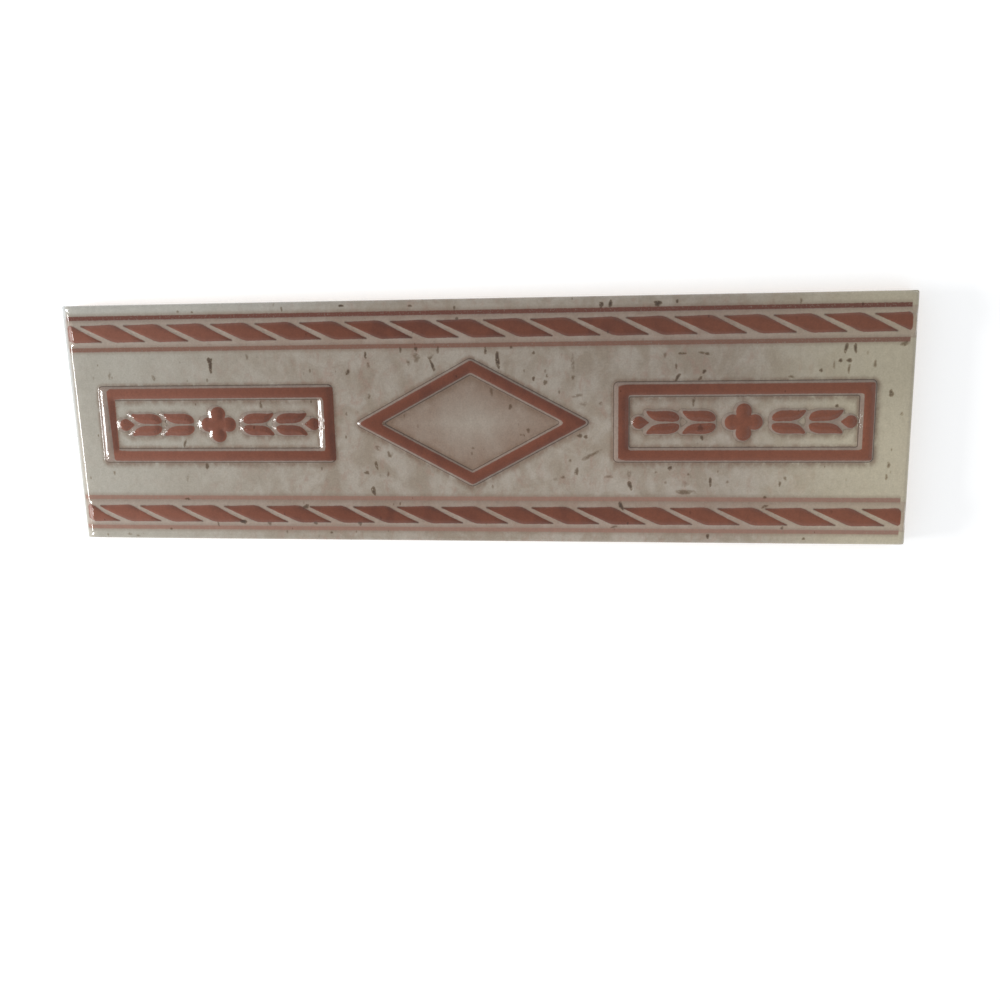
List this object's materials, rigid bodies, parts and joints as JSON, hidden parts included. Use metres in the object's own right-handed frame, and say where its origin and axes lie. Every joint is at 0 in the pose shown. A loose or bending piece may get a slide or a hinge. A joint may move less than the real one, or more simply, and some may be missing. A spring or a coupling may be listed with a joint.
{
  "type": "border tile",
  "caption": "Long narrow glazed ceramic border tile with moulded relief: rope beads along both long edges, framed leaf-and-flower panels and a plain raised rhombus.",
  "frame": {"origin": "centre of the tile's footprint, on the plane of the back ribs that it rests on", "axes": "+X along the long edge, +Y across the width, +Z out of the glazed face"},
  "size_m": [0.25, 0.072, 0.009],
  "materials": {
    "glazed_ceramic": "glossy glaze, travertine-look beige with brick-red decoration"
  },
  "bodies": {
    "root": {"border_tile": "glazed_ceramic"}
  },
  "joints": []
}
